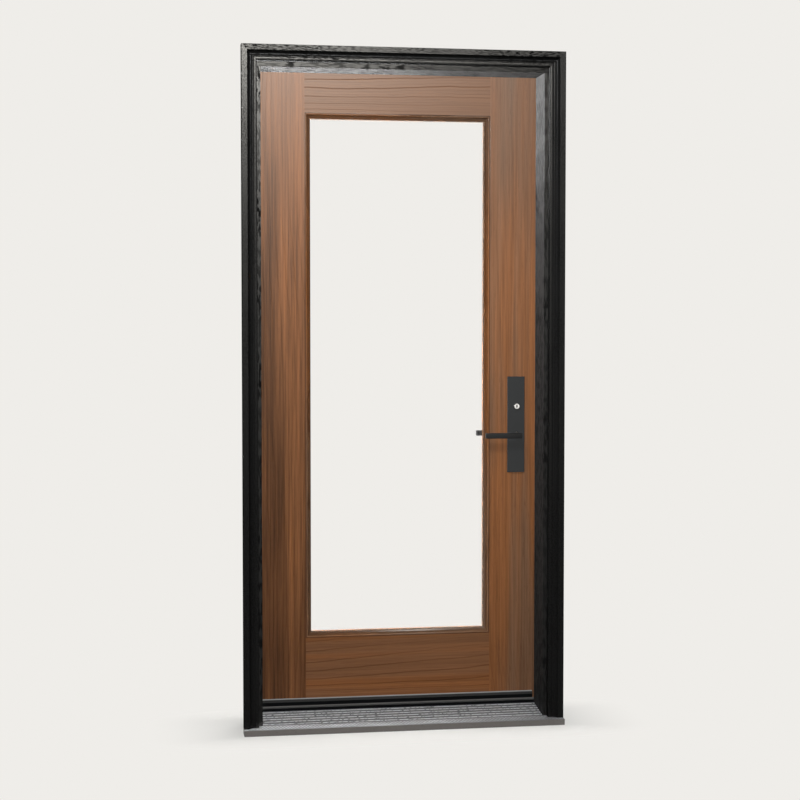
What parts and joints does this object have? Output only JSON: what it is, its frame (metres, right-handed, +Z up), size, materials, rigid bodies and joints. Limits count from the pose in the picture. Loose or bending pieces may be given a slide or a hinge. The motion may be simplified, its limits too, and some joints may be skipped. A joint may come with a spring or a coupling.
{
  "type": "fiberglass entrance door",
  "caption": "Prehung inswing entrance door: wood-grain fiberglass slab with a full glass lite, black rebated frame, casing, aluminium sill and lever lock.",
  "frame": {"origin": "on the sill's underside, midway between the jambs, in the plane of the casing's back", "axes": "+Z up, +X to the right as seen from outside, +Y into the house"},
  "size_m": [1.0096, 0.2767, 2.1115],
  "materials": {
    "frame_composite": "black, embossed wood grain, satin",
    "seal": "matt black foam and vinyl",
    "sill_composite": "dark grey composite",
    "sill_aluminium": "mill finish, ribbed",
    "threshold": "black, satin",
    "hardware": "black powder coat",
    "slab_skin": "stained wood-grain fiberglass, satin",
    "edge_wood": "unfinished laminated wood",
    "core": "rigid foam",
    "glass": "clear",
    "spacer": "satin spacer",
    "lock_black": "charcoal powder coat",
    "lock_steel": "brushed steel",
    "cylinder_metal": "satin nickel"
  },
  "bodies": {
    "frame": {"jamb_hinge_side": "frame_composite", "jamb_lock_side": "frame_composite", "jamb_head": "frame_composite", "brickmould_left": "frame_composite", "brickmould_right": "frame_composite", "brickmould_head": "frame_composite", "weatherstrip_hinge_side": "seal", "weatherstrip_lock_side": "seal", "weatherstrip_head": "seal", "sill_base": "sill_composite", "sill_deck": "sill_aluminium", "threshold_cap": "threshold", "strike_plate": "hardware", "hinge_bottom_frame_leaf": "hardware", "hinge_middle_frame_leaf": "hardware", "hinge_top_frame_leaf": "hardware"},
    "slab": {"hinge_bottom_door_leaf": "hardware", "hinge_middle_door_leaf": "hardware", "hinge_top_door_leaf": "hardware", "skin_exterior": "slab_skin", "skin_interior": "slab_skin", "stile_hinge": "edge_wood", "stile_lock": "edge_wood", "rail_top": "edge_wood", "rail_bottom": "edge_wood", "door_core": "core", "glazing_frame_exterior": "slab_skin", "glazing_frame_interior": "slab_skin", "glass_exterior": "glass", "glass_interior": "glass", "glass_spacer": "spacer", "escutcheon_exterior": "lock_black", "escutcheon_interior": "lock_black", "lock_cylinder": "cylinder_metal", "thumbturn": "lock_black", "lock_faceplate": "lock_steel", "drip_cap": "threshold", "door_sweep": "seal"},
    "lever": {"lever_exterior": "lock_black", "lever_interior": "lock_black", "spindle": "lock_steel"},
    "plug": {"key_plug": "cylinder_metal"}
  },
  "joints": [
    {"name": "door_swing", "type": "hinge", "parent": "frame", "child": "slab", "pos_m": [-0.4557, 0.17345, 1], "axis": [0, 0, 1], "range_deg": [0, 110]},
    {"name": "lever_turn", "type": "hinge", "parent": "slab", "child": "lever", "pos_m": [0.38235, 0.14, 0.9085], "axis": [0, -1, 0], "range_deg": [0, 45], "stiffness_Nm_per_rad": 1.5, "springref_deg": -51.57},
    {"name": "key_turn", "type": "hinge", "parent": "slab", "child": "plug", "pos_m": [0.38235, 0.11, 1.0005], "axis": [0, 1, 0], "continuous": true}
  ]
}
